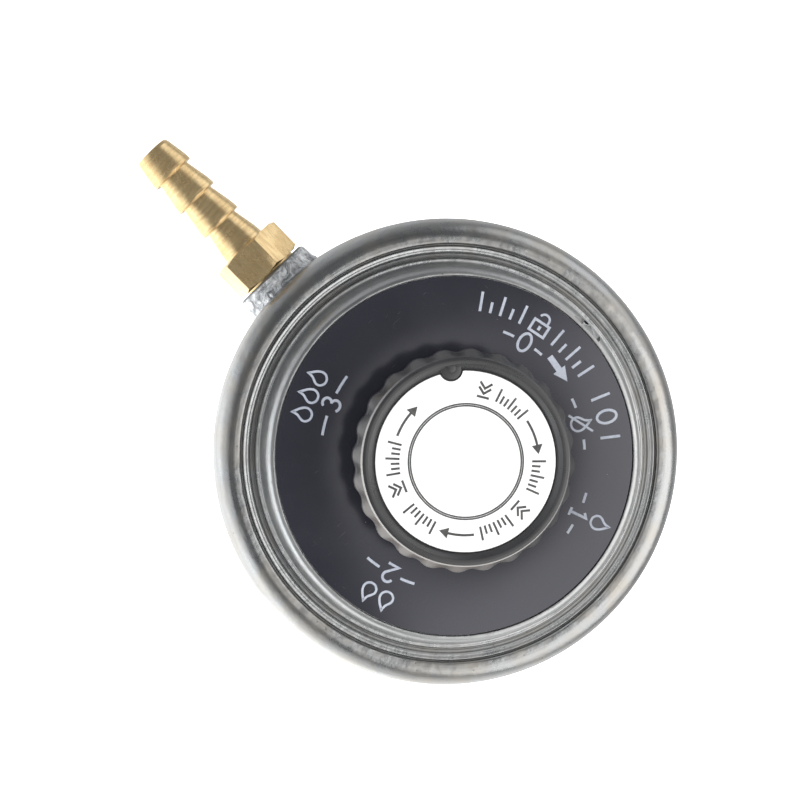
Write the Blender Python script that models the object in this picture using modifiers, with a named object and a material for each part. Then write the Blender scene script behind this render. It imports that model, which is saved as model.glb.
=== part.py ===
"""Adjustable low-pressure gas regulator for a small screw-on fuel cylinder.

Rear inlet socket on the axis, radial hose barb outlet, push-to-turn knob on the
front.  Units are metres, +Z is up and runs out through the knob.  The origin is
on the axis, in the plane of the inlet collar's end face.  The hose barb points
along +X.  All helper profiles are written in millimetres.
"""

import math

import bmesh
import bpy
from mathutils import Matrix, Vector

MM = 0.001

# ---------------------------------------------------------------- driving sizes
BODY_R = 38.0          # largest radius, at the rolled rim
COLLAR_R = 16.5        # inlet collar outside
INLET_R = 12.45        # inlet socket, 1"-20 UNEF female, drawn at mean thread size
INLET_DEPTH = 12.6
LEDGE_Z = 23.2         # diaphragm seat in the body
LIP_Z = 27.05          # underside of the rolled rim
OUTLET_Z = 17.2        # height of the hose barb's axis
BOSS_R = 7.0
BOSS_X = 40.75         # end face of the outlet boss
HEX_AF = 11.1          # 7/16 in hexagon
BARB_R = 3.79
BARB_TIP_X = 68.4
HEX_TURN = math.radians(15.5)
LABEL_Z = 33.95        # top of the dial label
LABEL_R = 28.3
TOWER_R = 12.5
TOWER_Z = 37.6
CEILING_Z = 35.9
KNOB_R = 17.15         # over the scallop crests
KNOB_TOP_Z = 46.15
SCALLOPS = 24
SCALLOP_DEPTH = 0.5
CREST_DEG = -2.9        # where one scallop crest stands
PUSH = 2.0             # knob travel when pushed
TURN_DEG = 297.0       # knob rotation, lock-off to high
SCREW_LEAD = 3.5       # spindle thread lead
POINTER_DEG = -35.0    # pointer at rest, from +X
STOP_PIN_R = 10.3      # radius the stop pin stands on
STOP_PIN_DEG = 100.0
VENT_DEG = -91.0       # breather notch

BIG = 36               # facets round the large turned parts
SMALL = 20

# -------------------------------------------------------------------- clearing
for old in list(bpy.data.objects):
    bpy.data.objects.remove(old, do_unlink=True)
for old in list(bpy.data.collections):
    bpy.data.collections.remove(old)

parts = bpy.data.collections.new("gas_regulator")
tools = bpy.data.collections.new("cutters")
bpy.context.scene.collection.children.link(parts)
bpy.context.scene.collection.children.link(tools)


# ------------------------------------------------------------------- materials
def material(name, colour, roughness, metallic):
    mat = bpy.data.materials.new(name)
    mat.use_nodes = True
    shader = mat.node_tree.nodes["Principled BSDF"]
    shader.inputs["Base Color"].default_value = (*colour, 1.0)
    shader.inputs["Roughness"].default_value = roughness
    shader.inputs["Metallic"].default_value = metallic
    mat.diffuse_color = (*colour, 1.0)
    return mat


ZINC = material("zinc", (0.55, 0.55, 0.54), 0.38, 1.0)
BRASS = material("brass", (0.80, 0.60, 0.27), 0.25, 1.0)
BRONZE = material("bronze", (0.50, 0.33, 0.16), 0.6, 1.0)
STEEL = material("steel", (0.62, 0.62, 0.63), 0.3, 1.0)
SPRING = material("spring_steel", (0.45, 0.45, 0.47), 0.3, 1.0)
LABEL = material("label_black", (0.035, 0.036, 0.042), 0.35, 0.0)
KNOB = material("knob_black", (0.05, 0.05, 0.055), 0.45, 0.0)
WHITE = material("cap_white", (0.86, 0.87, 0.87), 0.35, 0.0)
RUBBER = material("rubber", (0.02, 0.02, 0.02), 0.7, 0.0)
NYLON = material("nylon", (0.75, 0.73, 0.66), 0.5, 0.0)


# --------------------------------------------------------------------- helpers
def into(obj, collection):
    for c in list(obj.users_collection):
        c.objects.unlink(obj)
    collection.objects.link(obj)


def as_tool(obj):
    """A cutter or a shape that is joined into another: never rendered itself."""
    into(obj, tools)
    obj.hide_render = True
    obj.display_type = "WIRE"
    return obj


def as_part(obj, mat):
    into(obj, parts)
    obj.data.materials.clear()
    obj.data.materials.append(mat)
    return obj


def smooth(obj, degrees=30.0):
    if obj.type == "MESH":
        obj.data.shade_smooth()
        obj.data.set_sharp_from_angle(angle=math.radians(degrees))


def turned(name, profile, steps, open_ended=False):
    """A turned shape from (radius, height) points in mm, with a Screw modifier.

    open_ended profiles start and end on the axis; the others are closed rings.
    The profile is put in the order that runs down its outer side."""
    area = 0.0
    for (r0, z0), (r1, z1) in zip(profile, profile[1:] + profile[:1]):
        area += r0 * z1 - r1 * z0
    if area > 0:
        profile = profile[::-1]
    mesh = bpy.data.meshes.new(name)
    edges = [(i, i + 1) for i in range(len(profile) - 1)]
    if not open_ended:
        edges.append((len(profile) - 1, 0))
    mesh.from_pydata([(r * MM, 0.0, z * MM) for r, z in profile], edges, [])
    obj = bpy.data.objects.new(name, mesh)
    tools.objects.link(obj)
    screw = obj.modifiers.new("turn", "SCREW")
    screw.axis = "Z"
    screw.angle = 2 * math.pi
    screw.steps = steps
    screw.render_steps = steps
    screw.use_merge_vertices = True
    screw.merge_threshold = 1e-6
    screw.use_smooth_shade = True
    return obj


def applied(obj, name=None):
    """The object with its modifiers, or its curve, turned into a plain mesh."""
    bpy.context.view_layer.update()
    graph = bpy.context.evaluated_depsgraph_get()
    mesh = bpy.data.meshes.new_from_object(obj.evaluated_get(graph))
    bm = bmesh.new()
    bm.from_mesh(mesh)
    bmesh.ops.remove_doubles(bm, verts=bm.verts, dist=1e-6)
    bm.to_mesh(mesh)
    bm.free()
    made = bpy.data.objects.new(name or obj.name + "_mesh", mesh)
    tools.objects.link(made)
    made.matrix_world = obj.matrix_world.copy()
    keep = obj.name
    bpy.data.objects.remove(obj, do_unlink=True)
    if name is None:
        made.name = keep
    return made


def rod(name, radius, z0, z1, segments=SMALL, at=(0.0, 0.0)):
    """A plain cylinder from z0 to z1, in mm."""
    mesh = bpy.data.meshes.new(name)
    bm = bmesh.new()
    bmesh.ops.create_cone(
        bm, cap_ends=True, segments=segments, radius1=radius * MM,
        radius2=radius * MM, depth=(z1 - z0) * MM,
    )
    bmesh.ops.translate(bm, verts=bm.verts, vec=(at[0] * MM, at[1] * MM, (z0 + z1) / 2 * MM))
    bm.to_mesh(mesh)
    bm.free()
    obj = bpy.data.objects.new(name, mesh)
    tools.objects.link(obj)
    return obj


def block(name, lo, hi):
    """A box between two corners, in mm."""
    mesh = bpy.data.meshes.new(name)
    bm = bmesh.new()
    bmesh.ops.create_cube(bm, size=1.0)
    size = [(b - a) * MM for a, b in zip(lo, hi)]
    mid = [(a + b) / 2 * MM for a, b in zip(lo, hi)]
    bmesh.ops.scale(bm, verts=bm.verts, vec=size)
    bmesh.ops.translate(bm, verts=bm.verts, vec=mid)
    bm.to_mesh(mesh)
    bm.free()
    obj = bpy.data.objects.new(name, mesh)
    tools.objects.link(obj)
    return obj


def plate(name, outline, z0, z1):
    """A flat outline in mm, extruded from z0 to z1, as a mesh."""
    curve = bpy.data.curves.new(name, "CURVE")
    curve.dimensions = "2D"
    curve.fill_mode = "BOTH"
    curve.extrude = (z1 - z0) / 2 * MM
    spline = curve.splines.new("POLY")
    spline.points.add(len(outline) - 1)
    for point, (x, y) in zip(spline.points, outline):
        point.co = (x * MM, y * MM, 0.0, 1.0)
    spline.use_cyclic_u = True
    obj = bpy.data.objects.new(name, curve)
    tools.objects.link(obj)
    obj.location = (0.0, 0.0, (z0 + z1) / 2 * MM)
    return applied(obj)


def sector(r0, r1, a0, a1, steps):
    """Outline of a ring sector, angles in degrees."""
    angles = [math.radians(a0 + (a1 - a0) * i / steps) for i in range(steps + 1)]
    outer = [(r1 * math.cos(a), r1 * math.sin(a)) for a in angles]
    inner = [(r0 * math.cos(a), r0 * math.sin(a)) for a in reversed(angles)]
    return outer + inner


def along_x(obj, z):
    """Lays a shape that was made along Z along +X, its axis at height z mm."""
    obj.matrix_world = Matrix.Translation((0.0, 0.0, z * MM)) @ Matrix.Rotation(
        math.pi / 2, 4, "Y"
    )
    return obj


def boolean(obj, tool, operation):
    mod = obj.modifiers.new(operation.lower() + "_" + tool.name, "BOOLEAN")
    mod.operation = operation
    mod.solver = "EXACT"
    mod.object = tool
    as_tool(tool)
    return obj


def cut(obj, *tools_):
    for tool in tools_:
        boolean(obj, tool, "DIFFERENCE")
    return obj


def join(obj, *tools_):
    for tool in tools_:
        boolean(obj, tool, "UNION")
    return obj


def spring(name, radius, wire, z0, z1, turns, per_turn, mat, dead=0.75):
    """A compression spring with closed ends, as a bevelled poly curve, in mm."""
    curve = bpy.data.curves.new(name, "CURVE")
    curve.dimensions = "3D"
    curve.bevel_depth = wire * MM
    curve.bevel_resolution = 1
    curve.use_fill_caps = True
    count = int(turns * per_turn) + 1
    lo, hi = z0 + wire, z1 - wire
    end_pitch = 2.12 * wire
    rise_end = dead * end_pitch
    spline = curve.splines.new("POLY")
    spline.points.add(count - 1)
    for i in range(count):
        t = turns * i / (count - 1)
        if t < dead:
            z = lo + t * end_pitch
        elif t > turns - dead:
            z = hi - (turns - t) * end_pitch
        else:
            z = lo + rise_end + (hi - lo - 2 * rise_end) * (t - dead) / (turns - 2 * dead)
        a = 2 * math.pi * t
        spline.points[i].co = (
            radius * MM * math.cos(a), radius * MM * math.sin(a), z * MM, 1.0,
        )
    obj = bpy.data.objects.new(name, curve)
    parts.objects.link(obj)
    curve.materials.append(mat)
    return obj


# ------------------------------------------------------------------------ body
# Die-cast lower housing: inlet collar, bowl, and the rim rolled over the bonnet.
body_profile = [
    (33.75, 27.85), (34.0, 28.25), (34.8, 28.35), (35.7, 28.15), (36.7, 27.45),
    (37.5, 26.3), (37.9, 25.1), (BODY_R, 24.0), (BODY_R, 22.2), (37.6, 21.3),
    (36.8, 20.8), (34.6, 20.3), (33.7, 19.6), (33.3, 17.6), (32.2, 15.6),
    (30.2, 14.5), (20.5, 13.7), (17.6, 12.9), (16.6, 11.2), (COLLAR_R, 0.7),
    (15.8, 0.0), (13.4, 0.0), (INLET_R, 1.0), (INLET_R, INLET_DEPTH),
    (4.5, INLET_DEPTH), (4.5, 17.5), (7.6, 17.5), (8.6, 16.3), (27.8, 16.3),
    (29.5, 17.8), (29.6, 22.6), (30.1, LEDGE_Z), (36.0, LEDGE_Z), (36.0, LIP_Z),
    (33.75, LIP_Z),
]
body = turned("body", body_profile, BIG)

# Outlet boss. Its inner half is kept under the diaphragm ledge.
boss = turned(
    "boss",
    [(0.0, BOSS_X), (6.1, BOSS_X), (6.75, 40.45), (BOSS_R, 39.8), (BOSS_R, 36.75),
     (BOSS_R, 36.5), (BOSS_R, 30.1), (0.0, 30.1)],
    SMALL, open_ended=True,
)
along_x(boss, OUTLET_Z)
boss = applied(boss)
boss.data.transform(boss.matrix_world)
boss.matrix_world = Matrix.Identity(4)
for v in boss.data.vertices:
    if v.co.x < 36.6 * MM:
        v.co.z = min(v.co.z, 22.6 * MM)
join(body, boss)

# Webs under the bowl, clear of the outlet boss.
WEB_DEG = (60.0, 120.0, 180.0, 240.0, 300.0)
for number, deg in enumerate(WEB_DEG):
    web = block(f"web_{number}", (15.6, -1.1, 4.5), (29.4, 1.1, 15.2))
    for v in web.data.vertices:
        if v.co.z < 10 * MM and v.co.x > 20 * MM:
            v.co.z = 13.2 * MM
    web.data.transform(Matrix.Rotation(math.radians(deg), 4, "Z"))
    join(body, web)

cut(
    body,
    along_x(rod("outlet_thread_bore", 4.95, 33.2, 44.0), OUTLET_Z),
    along_x(rod("outlet_passage", 2.0, 26.0, 34.0, 16), OUTLET_Z),
)
as_part(body, ZINC)

# ---------------------------------------------------------------------- bonnet
# Die-cast upper housing: flange under the rolled rim, stepped shoulder, flat
# dial land, and the tower that carries the spindle and guides the spring seat.
bonnet_profile = [
    (3.6, TOWER_Z), (11.7, TOWER_Z), (12.3, 37.3), (TOWER_R, 36.7), (TOWER_R, 34.0),
    (13.0, 33.5), (28.45, 33.5), (28.5, 33.9), (29.0, 33.9), (29.6, 33.2),
    (30.0, 31.8), (30.45, 29.4), (30.8, 28.2), (31.3, 28.15), (31.5, 27.5),
    (32.1, 27.5), (32.4, 27.95), (33.2, 27.95), (33.5, 27.6), (33.5, 26.95),
    (35.85, 26.95), (35.85, 24.85), (29.8, 24.85), (29.2, 25.4), (28.6, 30.2),
    (27.6, 31.3), (TOWER_R, 31.3), (TOWER_R, 29.0), (10.0, 29.0),
    (10.0, CEILING_Z), (3.6, CEILING_Z),
]
bonnet = turned("bonnet", bonnet_profile, BIG)

# Two keyways for the spring seat's lugs.
for number, side in enumerate((-1, 1)):
    lo, hi = sorted((side * 9.0, side * 11.25))
    cut(bonnet, block(f"keyway_{number}", (-2.0, lo, 28.5), (2.0, hi, 34.9)))

# Breather notch in the shoulder, and the slanted vent hole that ends in it.
vent = block("vent_notch", (29.0, -2.2, 30.6), (33.0, 1.7, 34.6))
for v in vent.data.vertices:
    if v.co.z < 32.0 * MM:
        # the notch's floor falls outwards, and towards its hole end
        v.co.z = (32.6 if v.co.y > 0 else 33.3) * MM - (4.5 * MM if v.co.x > 31.0 * MM else 0.0)
vent.data.transform(Matrix.Rotation(math.radians(VENT_DEG), 4, "Z"))
hole = rod("vent_hole", 0.75, -6.0, 3.0, 12)
hole.data.transform(
    Matrix.Rotation(math.radians(VENT_DEG), 4, "Z")
    @ Matrix.Translation((30.0 * MM, 0.9 * MM, 31.8 * MM))
    @ Matrix.Rotation(math.radians(58.0), 4, "Y")
)
pin_angle = math.radians(STOP_PIN_DEG)
pin_at = (STOP_PIN_R * math.cos(pin_angle), STOP_PIN_R * math.sin(pin_angle))
cut(bonnet, vent, hole, rod("stop_pin_hole", 1.3, 36.35, 39.0, 16, pin_at))
as_part(bonnet, ZINC)

# ------------------------------------------------------------------- hose barb
barb_profile = [(2.45, BARB_TIP_X), (2.95, BARB_TIP_X), (3.15, 68.15)]
for step in (63.3, 57.8, 52.3):
    barb_profile += [(BARB_R, step + 1.2), (BARB_R, step), (2.8, step - 0.05)]
barb_profile += [
    (BARB_R, 48.0), (BARB_R, 46.7), (5.0, 46.5), (5.0, 41.4), (4.85, 40.9), (4.85, 34.0),
    (4.5, 33.5), (2.25, 33.5), (2.25, 68.1),
]
hose_barb = turned("hose_barb", barb_profile, SMALL)
hexagon = rod("hexagon", HEX_AF / math.sqrt(3), 41.0, 46.85, 6)
hexagon.data.transform(Matrix.Rotation(math.radians(30.0), 4, "Z"))
cut(hexagon, rod("hexagon_bore", 3.0, 39.0, 48.0))
join(hose_barb, hexagon)
hose_barb.matrix_world = (
    Matrix.Translation((0.0, 0.0, OUTLET_Z * MM))
    @ Matrix.Rotation(math.pi / 2, 4, "Y")
    @ Matrix.Rotation(HEX_TURN, 4, "Z")
)
for tool in (hexagon, bpy.data.objects["hexagon_bore"]):
    tool.matrix_world = hose_barb.matrix_world.copy()
as_part(hose_barb, BRASS)

# ---------------------------------------------------------------- inlet pieces
probe = turned(
    "inlet_probe",
    [(0.0, 7.5), (1.1, 7.5), (1.1, 11.1), (3.0, 11.1), (3.0, 14.05), (4.4, 14.05),
     (4.4, 12.5), (6.0, 12.5), (6.0, 10.9), (5.4, 10.3), (2.5, 10.0), (2.2, 9.6),
     (2.2, 5.4), (1.6, 4.8), (0.0, 4.8)],
    SMALL, open_ended=True,
)
cross = rod("probe_cross_hole", 0.6, -4.0, 4.0, 12)
cross.data.transform(
    Matrix.Translation((0.0, 0.0, 8.5 * MM)) @ Matrix.Rotation(math.pi / 2, 4, "X")
)
cut(probe, cross)
as_part(probe, BRASS)

as_part(turned("inlet_gasket",
               [(6.3, 12.5), (11.4, 12.5), (11.8, 12.1), (11.8, 11.6), (11.4, 11.2),
                (6.3, 11.2)], SMALL), RUBBER)
as_part(turned("inlet_filter",
               [(0.0, 12.15), (2.85, 12.15), (2.85, 11.2), (0.0, 11.2)],
               SMALL, open_ended=True), BRONZE)
as_part(turned("seat_insert",
               [(1.4, 18.3), (5.2, 18.3), (5.6, 18.0), (5.6, 17.6), (4.4, 17.6),
                (4.4, 14.2), (3.4, 14.2), (3.4, 16.6), (1.4, 16.6)], SMALL), BRASS)
as_part(turned("poppet",
               [(0.0, 21.75), (0.55, 21.75), (0.8, 21.4), (0.8, 15.9), (2.6, 15.9),
                (2.6, 14.9), (0.0, 14.9)], 20, open_ended=True), BRASS)
as_part(turned("poppet_seal",
               [(0.95, 16.5), (2.5, 16.5), (2.5, 15.97), (0.95, 15.97)], 20), RUBBER)
spring("poppet_spring", 2.1, 0.2, 12.25, 14.82, 4.0, 10, SPRING, dead=0.5)

# ------------------------------------------------------------------- diaphragm
as_part(turned("diaphragm",
               [(2.1, 23.4), (21.8, 23.4), (22.8, 23.75), (23.5, 24.6), (24.4, 25.6),
                (25.8, 26.05), (27.2, 25.6), (28.1, 24.6), (28.9, 24.1), (30.6, 24.1),
                (30.7, 24.75), (35.7, 24.75), (35.7, 23.3), (28.6, 23.3),
                (27.5, 23.9), (26.8, 24.8), (25.8, 25.25), (24.8, 24.8),
                (24.1, 23.9), (23.0, 22.75), (21.8, 22.6), (2.1, 22.6)], BIG), RUBBER)
as_part(turned("diaphragm_plate",
               [(2.15, 24.45), (20.2, 24.45), (20.7, 24.8), (20.9, 25.4),
                (21.5, 25.4), (21.5, 24.3), (21.3, 23.8), (20.9, 23.45),
                (2.15, 23.45)], BIG), STEEL)
as_part(turned("diaphragm_stud",
               [(0.0, 26.3), (1.7, 26.3), (2.0, 26.0), (2.0, 22.5), (6.0, 22.5),
                (6.0, 21.8), (0.0, 21.8)], 20, open_ended=True), BRASS)
nut = rod("diaphragm_nut", 7.0 / math.sqrt(3), 24.5, 26.1, 6)
cut(nut, rod("nut_bore", 2.1, 24.0, 27.0, 20))
as_part(nut, STEEL)

# ----------------------------------------------------- setting spring and screw
spring("main_spring", 7.6, 0.6, 24.5, 32.65, 4.0, 14, SPRING)
seat = turned(
    "spring_seat",
    [(4.0, 33.9), (9.2, 33.9), (9.4, 33.7), (9.4, 32.7), (6.0, 32.7), (5.8, 32.5),
     (5.8, 29.7), (4.0, 29.7)], SMALL,
)
for number, side in enumerate((-1, 1)):
    lo, hi = sorted((side * 8.4, side * 11.0))
    join(seat, block(f"lug_{number}", (-1.8, lo, 32.8), (1.8, hi, 33.8)))
as_part(seat, ZINC)

spindle = turned(
    "spindle",
    [(0.0, 38.2), (1.3, 38.2), (1.3, 41.2), (2.65, 41.2), (2.65, 37.75), (3.5, 37.65),
     (3.5, 37.15), (2.9, 37.15), (2.9, 36.35), (3.5, 36.35), (3.5, 35.25),
     (6.5, 35.25), (6.5, 34.05), (3.9, 34.05), (3.9, 27.7), (3.5, 27.3), (0.0, 27.3)],
    SMALL, open_ended=True,
)
flat = block("spindle_flat", (1.85, -4.0, 37.8), (4.0, 4.0, 42.0))
cut(spindle, flat)
as_part(spindle, BRASS)

as_part(turned("spindle_oring",
               [(3.25 + 0.3 * math.cos(a), 36.75 + 0.3 * math.sin(a))
                for a in [2 * math.pi * i / 8 for i in range(8)]], 20), RUBBER)
as_part(turned("thrust_washer",
               [(3.7, 35.85), (6.8, 35.85), (6.8, 35.3), (3.7, 35.3)], SMALL), NYLON)
as_part(turned("stop_pin",
               [(0.0, 41.0), (0.9, 41.0), (1.2, 40.7), (1.2, 36.4), (0.0, 36.4)],
               16, open_ended=True), STEEL)
bpy.data.objects["stop_pin"].location = (pin_at[0] * MM, pin_at[1] * MM, 0.0)

# ------------------------------------------------------------------ dial label
as_part(turned("dial_label",
               [(13.2, LABEL_Z), (28.2, LABEL_Z), (LABEL_R, 33.9), (LABEL_R, 33.55),
                (13.2, 33.55)], BIG), LABEL)

# ------------------------------------------------------------------------ knob
knob_raw = turned(
    "knob_raw",
    [(13.95, 45.0), (14.05, 45.6), (14.7, 46.0), (15.1, KNOB_TOP_Z), (15.7, 46.05),
     (15.95, 45.7), (17.05, 43.7), (KNOB_R, 43.2), (KNOB_R, 41.6),
     (16.3, 37.0), (15.9, 36.5), (14.7, 36.5), (14.4, 42.4), (13.8, 43.2), (6.4, 43.2),
     (6.3, 39.9), (3.6, 39.9), (3.6, 41.2), (4.6, 41.2), (4.6, 44.95), (13.9, 44.95)],
    SCALLOPS * 2,
)
knob = applied(knob_raw, "knob")
crest = math.radians(CREST_DEG)
knob.data.transform(Matrix.Rotation(crest, 4, "Z"))
for v in knob.data.vertices:
    r = math.hypot(v.co.x, v.co.y) / MM
    z = v.co.z / MM
    if r > 15.3 and z < 44.9:
        a = math.atan2(v.co.y, v.co.x)
        depth = SCALLOP_DEPTH * (0.5 - 0.5 * math.cos(SCALLOPS * (a - crest)))
        k = (r - depth) / r
        v.co.x *= k
        v.co.y *= k

# The hub's D-shaped drive hole is a plate with a flat, joined inside the hub.
drive = rod("drive_plate", 4.2, 39.9, 41.2)
key = rod("drive_hole", 2.75, 39.0, 42.0)
for v in key.data.vertices:
    v.co.x = min(v.co.x, 1.95 * MM)
cut(drive, key)
join(knob, drive)

# Stop rib that meets the stop pin at both ends of the knob's turn.
pin_half = math.degrees(1.2 / STOP_PIN_R)
gap = 1.3
rib_to = STOP_PIN_DEG - pin_half - gap
rib_from = rib_to - (360.0 - TURN_DEG - 2 * (pin_half + gap))
join(knob, plate("stop_rib", sector(9.0, 11.6, rib_from, rib_to, 5), 39.8, 43.6))

# Pointer pad that fills the notch in the cap.
pointer = math.radians(POINTER_DEG)
pad_at = (14.15 * math.cos(pointer), 14.15 * math.sin(pointer))
join(knob, rod("pointer_pad", 1.6, 44.3, 45.75, 20, pad_at))
as_part(knob, KNOB)

cap = turned("knob_cap",
             [(0.0, 45.6), (13.5, 45.6), (13.72, 45.4), (13.72, 45.05), (0.0, 45.05)],
             48, open_ended=True)
cut(cap, rod("cap_notch", 1.85, 44.0, 47.0, 20, pad_at))
as_part(cap, WHITE)

as_part(turned("knob_screw",
               [(0.0, 42.9), (1.7, 42.9), (2.6, 42.4), (2.8, 41.8), (1.2, 41.8),
                (1.2, 38.5), (0.0, 38.5)], SMALL, open_ended=True), STEEL)
as_part(turned("knob_washer",
               [(1.35, 41.72), (4.3, 41.72), (4.3, 41.27), (1.35, 41.27)], SMALL), STEEL)
spring("knob_spring", 7.3, 0.4, 37.65, 43.12, 3.25, 12, SPRING, dead=0.6)

# ----------------------------------------------------- shading of the parts
for obj in parts.objects:
    smooth(obj)
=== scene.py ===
import math

import bmesh
import bpy
import numpy as np
from mathutils import Matrix, Vector


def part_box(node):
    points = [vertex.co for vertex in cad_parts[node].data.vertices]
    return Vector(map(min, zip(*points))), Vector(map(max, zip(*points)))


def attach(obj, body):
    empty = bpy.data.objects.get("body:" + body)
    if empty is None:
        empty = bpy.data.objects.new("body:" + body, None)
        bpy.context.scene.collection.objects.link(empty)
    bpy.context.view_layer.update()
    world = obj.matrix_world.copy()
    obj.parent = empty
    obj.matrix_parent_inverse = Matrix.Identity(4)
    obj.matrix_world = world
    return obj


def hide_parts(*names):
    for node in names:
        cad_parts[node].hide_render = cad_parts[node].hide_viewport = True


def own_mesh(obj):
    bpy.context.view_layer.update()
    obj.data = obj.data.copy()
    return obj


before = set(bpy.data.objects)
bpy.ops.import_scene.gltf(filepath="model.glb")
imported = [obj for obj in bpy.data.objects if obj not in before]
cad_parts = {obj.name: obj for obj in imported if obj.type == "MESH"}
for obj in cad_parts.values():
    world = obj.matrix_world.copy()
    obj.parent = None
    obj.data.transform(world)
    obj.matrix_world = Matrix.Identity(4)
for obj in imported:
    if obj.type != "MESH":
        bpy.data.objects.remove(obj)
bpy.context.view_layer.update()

MM = 0.001
PI = math.pi

# ------------------------------------------------------------ places and sizes
OUTLET_Z = (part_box("hose_barb")[0].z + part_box("hose_barb")[1].z) / 2 / MM
TIP_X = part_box("hose_barb")[1].x / MM
BOSS_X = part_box("body")[1].x / MM
LABEL_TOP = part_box("dial_label")[1].z / MM
CAP_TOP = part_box("knob_cap")[1].z / MM
BODY_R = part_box("body")[1].y / MM
KNOB_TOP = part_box("knob")[1].z / MM
POINTER = math.radians(-35.0)
HEX_TURN = math.radians(15.5)
SCALLOPS = 24
VENT = math.radians(-91.0)
rng = np.random.default_rng(7)


# ============================================================== node material kit
class Shade:
    """A small helper that writes a node tree for one Principled material."""

    def __init__(self, name, **sockets):
        self.mat = bpy.data.materials.new(name)
        self.mat.use_nodes = True
        self.t = self.mat.node_tree
        self.p = self.t.nodes["Principled BSDF"]
        for k, v in sockets.items():
            self.set(self.p, k.replace("_", " "), v)

    def set(self, node, key, value):
        socket = node.inputs[key]
        if isinstance(value, bpy.types.NodeSocket):
            self.t.links.new(value, socket)
        elif isinstance(value, (tuple, list)) and len(value) == 3 and socket.type == "RGBA":
            socket.default_value = (*value, 1.0)
        else:
            socket.default_value = value

    def node(self, kind, props=None, **inputs):
        n = self.t.nodes.new(kind)
        for k, v in (props or {}).items():
            setattr(n, k, v)
        for k, v in inputs.items():
            key = int(k[1:]) if k[0] == "i" and k[1:].isdigit() else k.replace("_", " ")
            self.set(n, key, v)
        return n

    def math(self, op, a, b=0.0, c=0.0, clamp=False):
        return self.node("ShaderNodeMath", {"operation": op, "use_clamp": clamp}, i0=a, i1=b, i2=c).outputs[0]

    def coords(self):
        return self.node("ShaderNodeTexCoord").outputs["Object"]

    def scaled(self, vec, scale):
        return self.node(
            "ShaderNodeVectorMath", {"operation": "MULTIPLY"}, i0=vec,
            i1=scale if isinstance(scale, (tuple, list)) else (scale, scale, scale),
        ).outputs[0]

    def round_coords(self, around=3.0, out=1500.0, up=1500.0, x_axis=False):
        """Coordinates that run slowly round the axis and quickly along the profile."""
        vec = self.coords()
        sep = self.node("ShaderNodeSeparateXYZ", None, i0=vec)
        x, y, z = sep.outputs
        if x_axis:
            z0 = self.math("SUBTRACT", z, OUTLET_Z * MM)
            x, y, z = y, z0, x
        r = self.math("SQRT", self.math("ADD", self.math("MULTIPLY", x, x), self.math("MULTIPLY", y, y)))
        r = self.math("MAXIMUM", r, 1e-5)
        cx = self.math("MULTIPLY", self.math("DIVIDE", x, r), around)
        cy = self.math("MULTIPLY", self.math("DIVIDE", y, r), around)
        rz = self.math("ADD", self.math("MULTIPLY", r, out), self.math("MULTIPLY", z, up))
        return self.node("ShaderNodeCombineXYZ", None, i0=cx, i1=cy, i2=rz).outputs[0], r

    def noise(self, vec, scale, detail=3.0, rough=0.55, distort=0.0):
        n = self.node(
            "ShaderNodeTexNoise", None, Vector=vec, Scale=scale, Detail=detail,
            Roughness=rough, Distortion=distort,
        )
        return n.outputs["Fac"] if "Fac" in n.outputs else n.outputs[0]

    def voronoi(self, vec, scale, feature="F1"):
        n = self.node("ShaderNodeTexVoronoi", {"feature": feature}, Vector=vec, Scale=scale)
        return n.outputs["Distance"]

    def ramp(self, fac, stops, mode="LINEAR"):
        n = self.node("ShaderNodeValToRGB", None, Fac=fac)
        cr = n.color_ramp
        cr.interpolation = mode
        while len(cr.elements) > len(stops):
            cr.elements.remove(cr.elements[-1])
        while len(cr.elements) < len(stops):
            cr.elements.new(0.5)
        for e, (pos, col) in zip(cr.elements, stops):
            e.position = pos
            e.color = (*col, 1.0) if len(col) == 3 else col
        return n.outputs["Color"]

    def span(self, fac, lo, hi, to_lo, to_hi, smooth=False):
        return self.node(
            "ShaderNodeMapRange",
            {"interpolation_type": "SMOOTHSTEP" if smooth else "LINEAR", "clamp": True},
            i0=fac, i1=lo, i2=hi, i3=to_lo, i4=to_hi,
        ).outputs[0]

    def mix(self, fac, a, b, blend="MIX"):
        n = self.node("ShaderNodeMix", {"data_type": "RGBA", "blend_type": blend, "clamp_factor": True})
        self.set(n, 0, fac)
        self.set(n, 6, a)
        self.set(n, 7, b)
        return n.outputs[2]

    def bump(self, height, strength, distance, normal=None):
        n = self.node("ShaderNodeBump", None, Height=height, Strength=strength, Distance=distance)
        if normal is not None:
            self.set(n, "Normal", normal)
        return n.outputs["Normal"]

    def out(self, **sockets):
        for k, v in sockets.items():
            self.set(self.p, k.replace("_", " "), v)
        return self.mat


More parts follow.
